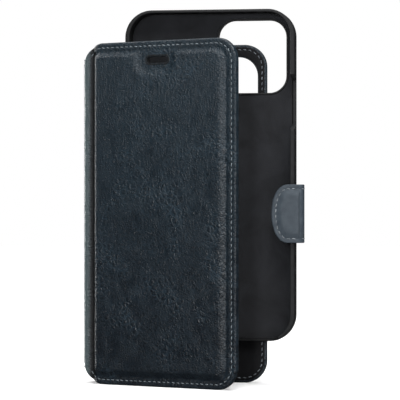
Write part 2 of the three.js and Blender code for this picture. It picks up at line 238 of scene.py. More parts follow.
# ---- a strip bent at a fold -----------------------------------------------------------------
class Bend:
    """A strip's middle line seen from above: two straight runs and a round bend at the fold.

    side is 1 when the outer face is on the left of the direction of travel, -1 on the right.
    """

    def __init__(self, fold, before, after, radius, side):
        self.fold = np.array(fold, float)
        self.before = unit(before)
        self.after = unit(after)
        cross = self.before[0] * self.after[1] - self.before[1] * self.after[0]
        self.turn = math.atan2(cross, self.before @ self.after)
        self.heading = math.atan2(self.before[1], self.before[0])
        self.radius = radius
        self.reach = max(radius * math.tan(abs(self.turn) / 2), 1e-6)
        self.side = side

    def at(self, s):
        """Points and outward directions at distances s past the fold."""
        s = np.asarray(s, float)
        angle = self.heading + self.turn * np.clip((s + self.reach) / (2 * self.reach), 0, 1)
        left = np.stack([-np.sin(angle), np.cos(angle)], 1)
        inward = self.radius * math.copysign(1, self.turn)
        first = np.array([-math.sin(self.heading), math.cos(self.heading)])
        centre = self.fold - self.before * self.reach + first * inward
        point = centre - left * inward
        point = np.where((s <= -self.reach)[:, None], self.fold + self.before * s[:, None], point)
        point = np.where((s >= self.reach)[:, None], self.fold + self.after * s[:, None], point)
        return point, left * self.side

    def place(self, s, z, out):
        """World points for flat arrays of distance, height and offset from the middle line."""
        point, normal = self.at(np.asarray(s, float))
        return np.column_stack([point + normal * np.asarray(out)[:, None], z])


def strip(name, bend, s, z_range, rows, outer, inner, materials, map_start):
    """A closed strip along a bend: outer and inner give its two faces' offsets."""
    low, high = z_range(s)
    along = np.repeat(s[:, None], len(rows), 1)
    up = low[:, None] + (high - low)[:, None] * rows[None, :]
    count = along.size
    a, z = along.ravel(), up.ravel()
    faces_out = bend.place(a, z, outer(along, up).ravel())
    faces_in = bend.place(a, z, inner(along, up).ravel())
    points = np.vstack([faces_out, faces_in])
    uv = np.tile(np.column_stack([a + map_start, z]), (2, 1))
    columns, n = len(s), len(rows)
    faces = []
    for i in range(columns - 1):
        for j in range(n - 1):
            k = i * n + j
            faces.append((k, k + n, k + n + 1, k + 1))
            faces.append((k + count, k + count + 1, k + count + n + 1, k + count + n))
    rim = [i * n for i in range(columns)]
    rim += [(columns - 1) * n + j for j in range(1, n)]
    rim += [i * n + n - 1 for i in range(columns - 2, -1, -1)]
    rim += [j for j in range(n - 2, 0, -1)]
    for k, m in zip(rim, rim[1:] + rim[:1]):
        faces.append((k, m, m + count, k + count))
    return make_object(name, points, faces, materials, uv)


def loft(name, loops, materials, closed_section=False, sharp=38):
    """Joins closed loops of equally many points; the ends are capped or the section closes."""
    loops = np.asarray(loops)
    rings, n = loops.shape[:2]
    faces = []
    for r in range(rings if closed_section else rings - 1):
        a, b = r * n, (r + 1) % rings * n
        faces += [(a + k, a + (k + 1) % n, b + (k + 1) % n, b + k) for k in range(n)]
    if not closed_section:
        faces.append(tuple(range(n)))
        faces.append(tuple((rings - 1) * n + k for k in range(n)))
    return make_object(name, loops.reshape(-1, 3), faces, materials, sharp=sharp)


def stitches(name, surface, path, material, seed):
    """Single stitches along a path on a surface, each a short arch of thread with its ends sunk."""
    draw = random.Random(seed)
    steps = np.hypot(*np.diff(path, axis=0).T)
    run = np.concatenate([[0], np.cumsum(steps)])
    count = int((run[-1] - STITCH_LENGTH) / STITCH_PITCH) + 1
    first = (run[-1] - (count - 1) * STITCH_PITCH) / 2
    stations, sides = 7, 6
    t = np.linspace(-1, 1, stations)
    points, faces = [], []
    for k in range(count):
        slant = 0.12 + draw.uniform(-0.05, 0.05)
        middle = first + k * STITCH_PITCH + draw.uniform(-0.06, 0.06)
        d = middle + t * STITCH_LENGTH / 2
        a = np.interp(d, run, path[:, 0])
        b = np.interp(d, run, path[:, 1])
        base, normal = surface(a, b)
        ahead = base[-1] - base[0]
        ahead /= np.linalg.norm(ahead)
        across = np.cross(ahead, normal[stations // 2])
        lift = THREAD_RADIUS * (1.0 - 2.4 * np.abs(t) ** 3)
        centre = base + normal * lift[:, None] + across * (slant * t)[:, None]
        radius = THREAD_RADIUS * (1.0 - 0.45 * t ** 4)
        start = len(points)
        for c, r, out in zip(centre, radius, normal):
            for q in range(sides):
                turn = 2 * math.pi * q / sides
                points.append(c + r * (math.cos(turn) * across + math.sin(turn) * out))
        for ring in range(stations - 1):
            for q in range(sides):
                at, beside = start + ring * sides + q, start + ring * sides + (q + 1) % sides
                faces.append((at, beside, beside + sides, at + sides))
        faces.append(tuple(start + q for q in range(sides)))
        faces.append(tuple(start + (stations - 1) * sides + q for q in range(sides)))
    return make_object(name, np.array(points), faces, [material], sharp=60)


def on_strip(bend, offset, side=1):
    """A surface for stitches: the strip's outer face at an offset, or its inner one with side -1."""
    def surface(s, z):
        _, normal = bend.at(s)
        flat = bend.place(s, z, offset(s, z))
        return flat, np.column_stack([side * normal, np.zeros(len(s))])
    return surface


def level(offset):
    """A flat face: the same offset everywhere."""
    return lambda s, z: np.full(np.shape(s), offset)


# ---- materials ------------------------------------------------------------------------------
class Shader:
    """A material's node tree with short calls for the nodes that it needs."""

    def __init__(self, name, roughness, metallic=0.0, specular=0.5):
        self.material = bpy.data.materials.new(name)
        self.material.use_nodes = True
        self.tree = self.material.node_tree
        self.surface = self.tree.nodes["Principled BSDF"]
        self.surface.inputs["Roughness"].default_value = roughness
        self.surface.inputs["Metallic"].default_value = metallic
        self.surface.inputs["Specular IOR Level"].default_value = specular

    def feed(self, socket, value):
        """Links an input to another node's output, or sets its value."""
        if isinstance(value, bpy.types.NodeSocket):
            self.tree.links.new(value, socket)
        else:
            socket.default_value = value

    def node(self, kind, **inputs):
        made = self.tree.nodes.new("ShaderNode" + kind)
        for key, value in inputs.items():
            self.feed(made.inputs[key.replace("_", " ")], value)
        return made

    def operate(self, kind, operation, *values):
        made = self.node(kind)
        made.operation = operation
        for socket, value in zip(made.inputs, values):
            self.feed(socket, value)
        return made.outputs[0]

    def math(self, operation, *values):
        return self.operate("Math", operation, *values)

    def total(self, *parts):
        """The sum of (layer, weight) pairs."""
        weighted = [self.math("MULTIPLY", layer, weight) for layer, weight in parts]
        made = weighted[0]
        for part in weighted[1:]:
            made = self.math("ADD", made, part)
        return made

    def place(self, flat, stretch=(1, 1, 1)):
        """Coordinates in millimetres times stretch: the piece's flat map, or its own space."""
        if flat:
            source = self.node("UVMap")
            source.uv_map = "flat"
            socket = source.outputs[0]
            factor = UV_MM
        else:
            socket = self.node("TexCoord").outputs["Object"]
            factor = 1 / MM
        return self.node("Mapping", Vector=socket, Scale=[factor * k for k in stretch]).outputs[0]

    def noise(self, vector, scale=1.0, detail=3.0, roughness=0.55, distortion=0.0):
        made = self.node("TexNoise", Vector=vector, Scale=scale, Detail=detail,
                         Roughness=roughness, Distortion=distortion)
        return made.outputs["Fac"]

    def warp(self, vector, amount, scale):
        """Coordinates pushed about by noise, so that cells and lines wander."""
        push = self.node("TexNoise", Vector=vector, Scale=scale, Detail=2.0).outputs["Color"]
        centred = self.operate("VectorMath", "SUBTRACT", push, (0.5, 0.5, 0.5))
        return self.operate("VectorMath", "MULTIPLY_ADD", centred, (amount, amount, amount), vector)

    def cells(self, vector, wander, wander_scale, scale, border):
        """Wandering cells: 0 at their borders, 1 inside them."""
        made = self.node("TexVoronoi")
        made.feature = "DISTANCE_TO_EDGE"
        self.feed(made.inputs["Vector"], self.warp(vector, wander, wander_scale))
        self.feed(made.inputs["Scale"], scale)
        return self.ramp(made.outputs["Distance"], (0.0, 0.0), (border, 1.0))

    def ramp(self, value, *stops):
        """A colour or grey ramp from (position, value) stops."""
        made = self.node("ValToRGB", Fac=value)
        ramp = made.color_ramp
        for k, (position, tone) in enumerate(stops):
            point = ramp.elements[k] if k < 2 else ramp.elements.new(position)
            point.position = position
            grey = isinstance(tone, (int, float))
            point.color = (tone, tone, tone, 1) if grey else (*tone, 1)
        return made.outputs[0]

    def mix(self, factor, under, over):
        """One colour over another, as far as factor says."""
        made = self.node("Mix")
        made.data_type = "RGBA"
        self.feed(made.inputs[0], factor)
        self.feed(made.inputs[6], under)
        self.feed(made.inputs[7], (*over, 1))
        return made.outputs[2]

    def finish(self, color=None, height=None, relief=0.1, roughness=None):
        """Links the results: height is in units of relief, in millimetres."""
        if color is not None:
            self.tree.links.new(color, self.surface.inputs["Base Color"])
        if roughness is not None:
            self.tree.links.new(roughness, self.surface.inputs["Roughness"])
        if height is not None:
            made = self.node("Bump", Strength=1.0, Distance=relief * MM, Height=height)
            self.tree.links.new(made.outputs[0], self.surface.inputs["Normal"])
        return self.material


def times(color, k):
    return tuple(k * c for c in color)


def band(s, across, middle, fade):
    """1 within a millimetre of a line up the cover, fading to 0 at a distance of fade."""
    beside = s.math("ABSOLUTE", s.math("SUBTRACT", across, middle))
    reach = 4.0
    return s.ramp(s.math("DIVIDE", beside, reach), (1.0 / reach, 1.0), (fade / reach, 0.0))


def creased_leather(name, dark, light):
    """Waxed leather: wandering creases, mottled colour and fine streaks along its height.

    It is darkened by painted shade in the pressed crease beside the fold, and lightened by a painted
    highlight where it bends round the spine; it is painted lighter towards the top, and its crease
    edges are lightened partly as wear and partly as painted glints.
    """
    s = Shader(name, 0.44, specular=0.42)
    flat = s.place(True)
    across, rise = s.node("SeparateXYZ", Vector=flat).outputs[:2]
    creases = s.cells(flat, 1.6, 0.35, 0.42, 0.3)
    fine = s.cells(flat, 0.9, 0.9, 0.95, 0.32)
    folds = s.cells(flat, 14.0, 0.05, 0.03, 0.05)
    grain = s.noise(flat, 3.2, 4.0, 0.6)
    mottle = s.noise(flat, 0.16, 5.0, 0.62, 0.6)
    patches = s.ramp(s.noise(flat, 0.055, 3.0, 0.5, 0.4), (0.42, 0.0), (0.62, 1.0))
    streaks = s.noise(s.warp(s.place(True, (1.15, 0.15, 1)), 1.1, 0.45), 1.0, 4.0, 0.62)
    high = s.ramp(s.math("DIVIDE", rise, HEIGHT), (0.62, 0.0), (0.9, 1.0))
    streaky = s.math("ADD", s.math("MULTIPLY", high, 0.75), 0.22)
    height = s.total((s.math("MULTIPLY", creases, patches), 1.1), (fine, 0.6), (folds, 0.5),
                     (grain, 0.12), (s.math("MULTIPLY", streaks, streaky), 2.2))
    speckle = s.noise(s.warp(flat, 1.2, 0.7), 0.9, 3.0, 0.7)
    # The last term is painted light: the colour grows lighter towards the top and darker towards the
    # bottom.
    tone = s.total((mottle, 0.5), (speckle, 0.5), (s.math("SUBTRACT", streaks, 0.5), streaky),
                   (s.math("SUBTRACT", rise, HEIGHT / 2), 0.003))
    between = tuple((a + b) / 2 for a, b in zip(dark, light))
    color = s.ramp(tone, (0.3, dark), (0.5, between), (0.72, light))
    # Crease and cell edges are lightened, partly as worn leather and partly as painted glints.
    crease_wear_and_glint = s.math("MULTIPLY", s.ramp(creases, (0.0, 0.6), (0.45, 0.0)), patches)
    cell_wear_and_glint = s.math("MULTIPLY", s.ramp(fine, (0.0, 0.6), (0.6, 0.0)), mottle)
    color = s.mix(s.math("MAXIMUM", crease_wear_and_glint, cell_wear_and_glint), color, times(light, 2.6))
    pressed = band(s, across, SPINE_LENGTH + CREASE["at"] + 0.4, 2.0)
    bend_highlight = band(s, across, SPINE_LENGTH + 0.3, 2.6)
    # Painted highlight: the colour is lightened along the rounded bend round the spine.
    color = s.mix(s.math("MULTIPLY", bend_highlight, 0.8), color, (0.045, 0.064, 0.068))
    # Painted shade: the colour is darkened in the pressed crease beside the fold.
    color = s.mix(s.math("MULTIPLY", pressed, 0.85), color, times(dark, 0.25))
    rough = s.total((s.ramp(mottle, (0.3, 0.34), (0.7, 0.46)), 1.0), (pressed, 0.3))
    return s.finish(color, height, 0.2, rough)


def smooth_leather(name, dark, light):
    """The strap's smoother leather: fine pebbles and a slight mottling."""
    s = Shader(name, 0.55, specular=0.35)
    flat = s.place(True)
    height = s.total((s.cells(flat, 0.2, 2.0, 2.2, 0.25), 0.4), (s.noise(flat, 4.0, 3.0, 0.6), 0.6))
    return s.finish(s.ramp(s.noise(flat, 0.35, 4.0, 0.55), (0.35, dark), (0.68, light)), height, 0.06)


def lining_leather(name, base):
    """Thin black lining: a fine even grain."""
    s = Shader(name, 0.68, specular=0.18)
    flat = s.place(True)
    height = s.total((s.cells(flat, 0.15, 2.0, 2.6, 0.3), 0.5), (s.noise(flat, 5.0, 2.0), 1.0))
    mottle = s.noise(flat, 0.2, 4.0, 0.6)
    return s.finish(s.ramp(mottle, (0.3, base), (0.75, times(base, 1.7))), height, 0.05)


def microfibre(name, dark, light):
    """Short-napped microfibre."""
    s = Shader(name, 0.95, specular=0.1)
    s.surface.inputs["Sheen Weight"].default_value = 0.15
    s.surface.inputs["Sheen Roughness"].default_value = 0.6
    nap = s.noise(s.place(False, (5, 5, 2)), 1.0, 4.0, 0.7)
    brushed = s.noise(s.place(False), 0.07, 4.0, 0.6, 0.8)
    return s.finish(s.ramp(brushed, (0.35, dark), (0.7, light)), nap, 0.12)


def plain(name, dark, light, roughness, scale, relief, metallic=0.0, stretch=(1, 1, 1)):
    """A moulded, sawn, foamed or plated surface: slight mottling over a fine texture."""
    s = Shader(name, roughness, metallic, 0.5 if metallic else 0.22)
    own = s.place(False, stretch)
    tone = s.noise(own, scale * 0.12, 4.0, 0.6)
    texture = s.noise(own, scale, 3.0, 0.6)
    rough = s.ramp(texture, (0.3, roughness * 0.9), (0.7, min(1.0, roughness * 1.15)))
    return s.finish(s.ramp(tone, (0.35, dark), (0.68, light)), texture, relief, rough)


def thread_material(name, dark, light):
    """Twisted thread."""
    s = Shader(name, 0.7, specular=0.3)
    s.surface.inputs["Sheen Weight"].default_value = 0.2
    twist = s.noise(s.place(False, (6, 6, 6)), 1.0, 2.0)
    tone = s.noise(s.place(False), 0.8, 2.0)
    return s.finish(s.ramp(tone, (0.35, dark), (0.65, light)), twist, 0.08)


LEATHER = creased_leather("cover_leather", (0.0005, 0.0018, 0.0042), (0.0058, 0.0118, 0.0172))
STRAP_LEATHER = smooth_leather("strap_leather", (0.022, 0.032, 0.043), (0.034, 0.046, 0.058))
LINING_LEATHER = lining_leather("lining_leather", (0.0028, 0.003, 0.0038))
MICROFIBRE = microfibre("microfibre", (0.006, 0.0065, 0.008), (0.013, 0.014, 0.017))
SKIN_LEATHER = plain("shell_skin_leather", (0.010, 0.014, 0.02), (0.026, 0.036, 0.046),
                     0.55, 1.4, 0.12)
SHELL_PLASTIC = plain("shell_plastic", (0.006, 0.0065, 0.007), (0.010, 0.0105, 0.0115),
                      0.62, 5.0, 0.015)
BOARD = plain("stiffener_board", (0.012, 0.013, 0.015), (0.022, 0.024, 0.027), 0.9, 3.0, 0.1)
FOAM = plain("foam", (0.6, 0.58, 0.52), (0.74, 0.72, 0.66), 0.95, 2.5, 0.2)
STEEL = plain("steel", (0.42, 0.43, 0.44), (0.55, 0.56, 0.57), 0.33, 2.0, 0.01, 1.0, (1, 1, 0.08))
MAGNET = plain("nickel_plate", (0.4, 0.39, 0.37), (0.5, 0.49, 0.47), 0.28, 3.0, 0.01, 1.0)
THREAD = thread_material("blue_grey_thread", (0.055, 0.07, 0.08), (0.14, 0.165, 0.18))
DARK_THREAD = thread_material("grey_thread", (0.06, 0.07, 0.08), (0.15, 0.17, 0.19))
STRAP_THREAD = thread_material("strap_thread", (0.07, 0.08, 0.09), (0.2, 0.22, 0.235))


def dress_frame():
    """Gives every carried-over node its material."""
    looks = {
        "board": BOARD, "foam": FOAM, "steel_plate": STEEL, "keeper_plate": STEEL,
        "magnet": MAGNET, "microfibre": MICROFIBRE,
    }
    for name, node in frame["nodes"].items():
        look = next((m for key, m in looks.items() if key in name), LINING_LEATHER)
        node.data.materials.clear()
        node.data.materials.append(look)


# ---- a cover's outline ----------------------------------------------------------------------
def cover_outline(inset=0.0, start=-0.4):
    """A cover's free edges as a polyline, from the fold round to the fold again."""
    r = CORNER - inset
    turn = math.acos(min(1.0, (FOLD_CORNER - start) / r))
    far = WIDTH - CORNER
    top = HEIGHT - CORNER
    return np.vstack([
        arc(FOLD_CORNER, CORNER, r, math.pi + turn, 3 * QUARTER),
        arc(far, CORNER, r, -QUARTER, 0),
        arc(far, top, r, 0, QUARTER),
        arc(FOLD_CORNER, top, r, QUARTER, math.pi - turn),
    ])


def wrap_outline():
    """The cover's outline, carried on along the spine's ends."""
    return np.vstack([(-SPINE_LENGTH, SPINE_END), cover_outline(), (-SPINE_LENGTH, HEIGHT - SPINE_END)])


OUTLINE = wrap_outline()


def corner_height(u, r):
    """How high a cover's lower edge is at a distance u from its fold, with corners of radius r."""
    near = np.clip(FOLD_CORNER - u, 0, r)
    far = np.clip(u - WIDTH + CORNER, 0, r)
    return CORNER - np.sqrt(r ** 2 - np.maximum(near, far) ** 2)


def cover_heights(u):
    """Lowest and highest point of the wrap at a distance u from the fold."""
    at_fold = corner_height(0, CORNER)
    spine = at_fold + (SPINE_END - at_fold) * smooth(-u / 2)
    low = np.where(u < 0, spine, corner_height(u, CORNER))
    return low, HEIGHT - low


def inset_heights(inset):
    """The same for a smaller piece, such as a lining."""
    def heights(u):
        shrunk = np.clip(u, None, WIDTH - inset)
        low = np.minimum(corner_height(shrunk, CORNER - inset), SPINE_END + inset)
        return low, HEIGHT - low
    return heights


# ---- the folio's leather --------------------------------------------------------------------
def to_spine(u, cover_value, spine_value):
    """Changes from the spine's value to the cover's across the fold."""
    return spine_value + (cover_value - spine_value) * smooth((u - 1.2) / 2.4)


def spine_shape(u):
    """The spine's rounded outside and the crease between it and the cover."""
    swell = 0.28 * bump(u, 1.7) + 0.22 * smooth((-u - 3.4) / 1.6)
    return swell - CREASE["depth"] * bump(u - CREASE["at"], CREASE["width"])


def panel_depth(u, z, fold_side):
    """Distance inside the panel that a cover's padding raises."""
    return depth_in_rect(u, z, fold_side, WIDTH - PANEL["free"], PANEL["end"],
                         HEIGHT - PANEL["end"], PANEL["corner"])


def raised_panel(u, z):
    """The front's padded panel, pressed flat in the recess round the speaker slot."""
    panel = panel_depth(u, z, PANEL["fold"] - 2)
    recess = depth_in_rect(u, z, RECESS["from"], RECESS["to"], RECESS["low"], HEIGHT + 9, 5.0)
    pressed = smooth((recess + 1.4) / 2.6)
    crown = 0.22 * smooth(panel / 26)
    shoulder = smooth((panel + 0.4) / PANEL["shoulder"])
    fold_side = smooth((u - PANEL["fold"] + 0.7) / 2.2)
    gutter = 0.32 * bump(panel + 0.7, 0.65) * smooth((u - 4) / 3)
    risen = (PANEL["raise"] * np.minimum(shoulder, fold_side) + crown) * (1 - pressed)
    return risen - 0.2 * pressed * shoulder - gutter


def outer_edge(u, z):
    """The rounded edge of the outer face, and the groove that its stitches lie in."""
    depth = depth_in_outline(u, z, OUTLINE)
    groove = 0.14 * bump(depth - STITCH_INSET, 0.4) * (u > 2.5)
    return -edge_drop(depth, 0.8) - groove


def front_outer(u, z):
    ripple = 0.09 * soft_noise(u, z, 9.0, 3.1) + 0.05 * soft_noise(u, z, 3.5, 7.7)
    return BACK_FACE + spine_shape(u) + raised_panel(u, z) + outer_edge(u, z) + ripple * smooth(u / 8)


def back_outer(u, z):
    puff = 0.25 * smooth((panel_depth(u, z, PANEL["fold"]) + 1) / 3)
    ripple = 0.07 * soft_noise(u, z, 11.0, 12.4)
    return BACK_FACE + spine_shape(u) + puff + outer_edge(u, z) + ripple * smooth(u / 8)


def skin_inner(u, z):
    """The leather's inner face, turned over the cover's edge."""
    depth = depth_in_outline(u, z, OUTLINE)
    turned = INNER_FACE + 0.12 + edge_drop(depth, 0.5)
    under = BACK_FACE - SKIN - 0.7 * bump(u - CREASE["at"], CREASE["width"] * 1.2)
    edge = np.where(u > 2.5, smooth((1.7 - depth) / 0.6), 0)
    return under + (turned - under) * edge * to_spine(u, 1.0, 0.0)


def cover_columns():
    steps = spaced(WIDTH, 1.1, end=EDGE_STEPS)
    spine = -spaced(SPINE_LENGTH / 2, 0.6)[::-1][:-1]
    return np.concatenate([spine, CREASE_STEPS, steps[steps > CREASE_STEPS[-1] + 0.6]])


def cover_rows():
    return spaced(HEIGHT, 1.15, EDGE_STEPS, EDGE_STEPS) / HEIGHT


FRONT = Bend(FRONT_FOLD, (0, -1), (math.cos(OPEN_ANGLE), -math.sin(OPEN_ANGLE)), FOLD_RADIUS, -1)
BACK = Bend(BACK_FOLD, (0, 1), (1, 0), FOLD_RADIUS, 1)


def blend_fold(piece):
    """Bakes the piece's placement into its mesh."""
    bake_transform(piece)


def slot_ring(grow, out):
    """The speaker slot's outline, grown on every side, at an offset from the middle line."""
    r = SLOT["height"] / 2
    half = SLOT["width"] / 2 - r
    r = r + grow
    loop = np.vstack([arc(SLOT["middle"] + half, SLOT["z"], r, -QUARTER, QUARTER),
                      arc(SLOT["middle"] - half, SLOT["z"], r, QUARTER, 3 * QUARTER)])
    return FRONT.place(loop[:, 0], loop[:, 1], np.full(len(loop), out))


def slot_cutter(grow):
    return loft("cutter", [slot_ring(grow, -SLOT_REACH), slot_ring(grow, SLOT_REACH)], [])


def front_leather():
    piece = strip("front_cover_leather", FRONT, cover_columns(), cover_heights, cover_rows(),
                  front_outer, skin_inner, [LEATHER], MAP_START["cover"])
    cut(piece, slot_cutter(0.0))
    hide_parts("front_leather", "spine_leather")
    blend_fold(piece)


def slot_binding():
    """The leather turned through the speaker slot, as a rounded lip and its wall."""
    face = float(front_outer(np.array([SLOT["middle"]]), np.array([SLOT["z"]]))[0])
    back = INNER_FACE + 0.2
    section = [(0.0, face - 0.25), (-0.18, face + 0.02), (-0.45, face + 0.1), (-0.75, face - 0.05),
               (-0.75, face - 0.4), (-0.1, face - 0.6), (-0.1, back), (0.14, back), (0.14, face - 0.7)]
    loops = [slot_ring(-inward, out) for inward, out in section]
    piece = loft("speaker_slot_binding", loops, [SHELL_PLASTIC], closed_section=True)
    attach(piece, "front_cover")


def rounded_loop(x0, x1, z0, z1, r, pitch=1.0):
    """A rounded rectangle as points and outward directions."""
    n = max(6, round(r * QUARTER / pitch) + 1)
    corners = [(x1 - r, z0 + r, -QUARTER), (x1 - r, z1 - r, 0), (x0 + r, z1 - r, QUARTER),
               (x0 + r, z0 + r, math.pi)]
    points, normals = [], []
    for k, (cx, cz, start) in enumerate(corners):
        a = np.linspace(start, start + QUARTER, n)
        out = np.stack([np.cos(a), np.sin(a)], 1)
        points.append(np.array([cx, cz]) + r * out)
        normals.append(out)
        nx, nz, next_start = corners[(k + 1) % 4]
        begin = points[-1][-1]
        finish = np.array([nx, nz]) + r * np.array([math.cos(next_start), math.sin(next_start)])
        steps = max(1, round(np.hypot(*(finish - begin)) / pitch))
        t = np.linspace(0, 1, steps + 1)[1:-1]
        points.append(begin + (finish - begin) * t[:, None])
        normals.append(np.repeat(out[-1:], len(t), 0))
    return np.vstack(points), np.vstack(normals)


def facing_loop(outline, normals, inset, y):
    """An outline drawn smaller by inset, facing along Y at y; both may change along it."""
    inset = np.broadcast_to(inset, len(outline))
    points = outline - normals * inset[:, None]
    return np.column_stack([points[:, 0], np.full(len(points), y), points[:, 1]])


def window_loop(corner, grow):
    """The camera window, measured from a plate's upper right corner."""
    right = corner[0] - WINDOW["margin"] + grow
    top = corner[1] - WINDOW["margin"] + grow
    left = corner[0] - WINDOW["margin"] - WINDOW["width"] - grow
    low = corner[1] - WINDOW["margin"] - WINDOW["height"] - grow
    return rounded_loop(left, right, low, top, WINDOW["corner"] + grow, 0.8)


def window_cutter(corner, grow, y_range):
    outline, normals = window_loop(corner, grow)
    return loft("cutter", [facing_loop(outline, normals, 0.0, y) for y in y_range], [])


# How far the shell stands from its docked place, and where its upper right corner docks.
dock = joints["shell_dock"]
DOCK_SHIFT = np.array(dock["axis"]) * dock["range_m"][0] / MM
SHELL_CORNER = (tray_hi[0], tray_hi[2])
DOCKED_CORNER = (SHELL_CORNER[0] + DOCK_SHIFT[0], SHELL_CORNER[1] + DOCK_SHIFT[2])


def back_leather():
    piece = strip("back_cover_leather", BACK, cover_columns(), cover_heights, cover_rows(),
                  back_outer, skin_inner, [LEATHER], MAP_START["cover"])
    cut(piece, window_cutter(DOCKED_CORNER, WINDOW_GROW["leather"], THROUGH_COVER))
    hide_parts("back_leather")
    blend_fold(piece)


# ---- the folio's lining ---------------------------------------------------------------------
LINING_INSET = 1.0


def lining_outer(u, z):
    return to_spine(u, INNER_FACE + LINING, INNER_FACE + LINING + 0.85)


def lining_inner(u, z):
    depth = depth_in_outline(u, z, OUTLINE) - LINING_INSET
    groove = 0.12 * bump(depth + LINING_INSET - STITCH_INSET, 0.4) * (u > 2.5)
    ripple = 0.05 * soft_noise(u, z, 8.0, 21.0) * smooth(u / 8)
    spine = INNER_FACE + 0.85
    return to_spine(u, INNER_FACE, spine) + edge_drop(depth, 0.35) + groove + ripple


def lining(name, bend, replaced):
    """A cover's lining, which runs on over half of the spine."""
    free_end = WIDTH - LINING_INSET
    columns = cover_columns()
    columns = np.append(columns[columns < free_end - 0.05], free_end)
    piece = strip(name, bend, columns, inset_heights(LINING_INSET), cover_rows(), lining_outer,
                  lining_inner, [LINING_LEATHER], MAP_START["lining"])
    if bend is FRONT:
        cut(piece, slot_cutter(SLOT_GROW))
    else:
        cut(piece, window_cutter(DOCKED_CORNER, WINDOW_GROW["lining"], THROUGH_COVER))
    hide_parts(*replaced)
    blend_fold(piece)


# ---- sewn lines round the covers ------------------------------------------------------------
def cover_seams(side, bend, outer, seed):
    """A cover's sewn line on both faces; the face that shows most stands for the CAD's thread."""
    path = cover_outline(STITCH_INSET, 3.0)
    made = {
        "outer": stitches(f"{side}_stitches_outer", on_strip(bend, outer), path, THREAD, seed),
        "inner": stitches(f"{side}_stitches_inner", on_strip(bend, lining_inner, -1), path,
                          DARK_THREAD, seed + 1),
    }
    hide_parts(f"{side}_seam_thread")
    for piece in made.values():
        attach(piece, f"{side}_cover")


# ---- pockets inside the front cover ---------------------------------------------------------
POCKET = {"fold": 7.0, "free": 4.0, "low": 6.0, "corner": 5.0, "ply": 0.4, "step": 0.45,
          "dip": 3.0, "dip_width": 9.0, "hem": 1.6}
# Each pocket's name, the height of its opening, and how much narrower it is at each side.
POCKETS = [("money_pocket", 134.0, 0.0), ("card_pocket_top", 112.0, 2.0),
           ("card_pocket_middle", 98.0, 2.0), ("card_pocket_bottom", 84.0, 2.0)]


def pocket(layer, name, top, inset):
    """One pocket: its ply with a dipped and hemmed opening, and the hem's sewn line."""
    left, right = POCKET["fold"] + inset, WIDTH - POCKET["free"] - inset
    low, r = POCKET["low"] + inset, POCKET["corner"]
    base = INNER_FACE - 0.05 - layer * POCKET["step"]

    def heights(u):
        side = np.minimum(u - left, right - u)
        drop = r - np.sqrt(np.maximum(r ** 2 - np.maximum(r - side, 0) ** 2, 0))
        dip = POCKET["dip"] * bump(u - (left + right) / 2, POCKET["dip_width"])
        return low + drop, np.full(len(u), top) - dip - 0.3 * drop

    def face(u, z):
        below = heights(u[:, 0])[1][:, None] - z
        depth = np.minimum(np.minimum(u - left, right - u), np.abs(below))
        hem = 0.1 * smooth((2.6 - below) / 0.5)
        ripple = 0.05 * soft_noise(u, z, 7.0, 31.0 + top)
        return base - POCKET["ply"] + edge_drop(depth, 0.2) - hem + ripple * smooth(depth / 4)

    sides = (0, 0.1, 0.25, 0.5, 1)
    columns = left + spaced(right - left, 1.5, sides, sides)
    rows = spaced(top, 1.5, (0, 0.2, 0.5), (0, 0.1, 0.25, 0.5, 1, 2, 2.4, 2.6, 3)) / top
    piece = strip(name + "_ply", FRONT, columns, heights, rows, level(base), face,
                  [LINING_LEATHER], MAP_START["pocket"] + top)
    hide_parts(name)
    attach(piece, "front_cover")
    u = np.linspace(left + 3, right - 3, 60)
    hem_path = np.column_stack([u, heights(u)[1] - POCKET["hem"]])
    flat = on_strip(FRONT, level(base - POCKET["ply"] + 0.14), -1)
    sewn = stitches(name + "_stitches", flat, hem_path, DARK_THREAD, 40 + layer)
    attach(sewn, "front_cover")


def pockets():
    for depth, (name, top, inset) in enumerate(POCKETS):
        pocket(depth, name, top, inset)


# ---- hard shell -----------------------------------------------------------------------------
def notch_depth(x, z, normals):
    """How far the rim is cut down at each point of the outline, from 0 to 1."""
    ramp = 2.4
    local_z = z - tray_lo[2]
    local_x = x - tray_lo[0]
    width = tray_hi[0] - tray_lo[0]

    def between(value, low, high):
        return smooth(np.minimum(value - low, high - value) / ramp)
    right = between(local_z, *KEY_NOTCH) * (normals[:, 0] > 0.9)
    left = between(local_z, *VOLUME_NOTCH) * (normals[:, 0] < -0.9)
    low = between(local_x, PORT_INSET, width - PORT_INSET) * (normals[:, 1] < -0.2)
    return np.maximum(np.maximum(right, left), low)


def shell_tray():
    outline, normals = rounded_loop(tray_lo[0], tray_hi[0], tray_lo[2], tray_hi[2], TRAY_CORNER, 0.8)
    cutaway = notch_depth(outline[:, 0], outline[:, 1], normals)
    rear, rim, floor = tray_hi[1], tray_lo[1], SHELL_FLOOR
    wall = 0.9 + 0.7 * normals[:, 0] ** 2
    low_rim = np.where(normals[:, 1] < -0.2, floor - 0.95, floor - 1.3)
    top = rim + (low_rim - rim) * cutaway
    lip = 0.4
    grip = 0.35 * (1 - cutaway)
    section = []
    for a in np.linspace(0, QUARTER, 7):
        section.append((SHELL_FILLET * (1 - math.sin(a)), rear - SHELL_FILLET * (1 - math.cos(a))))
    for k in (0.33, 0.66, 1.0):
        section.append((0.0, rear - SHELL_FILLET + (top + lip - rear + SHELL_FILLET) * k))
    section += [(0.1, top + 0.14), (0.34, top), (wall - 0.25 + grip, top), (wall + grip, top + 0.25),
                (wall, np.minimum(top + 1.5, floor - 0.95)), (wall, floor - 0.8),
                (wall + 0.25, floor - 0.22), (wall + 0.85, floor)]
    loops = [facing_loop(outline, normals, inset, y) for inset, y in section]
    piece = loft("hard_shell", loops, [SHELL_PLASTIC], sharp=32)
    cut(piece, window_cutter(SHELL_CORNER, 0.0, THROUGH_SHELL), sharp=32)
    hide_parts("shell_tray")
    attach(piece, "shell")


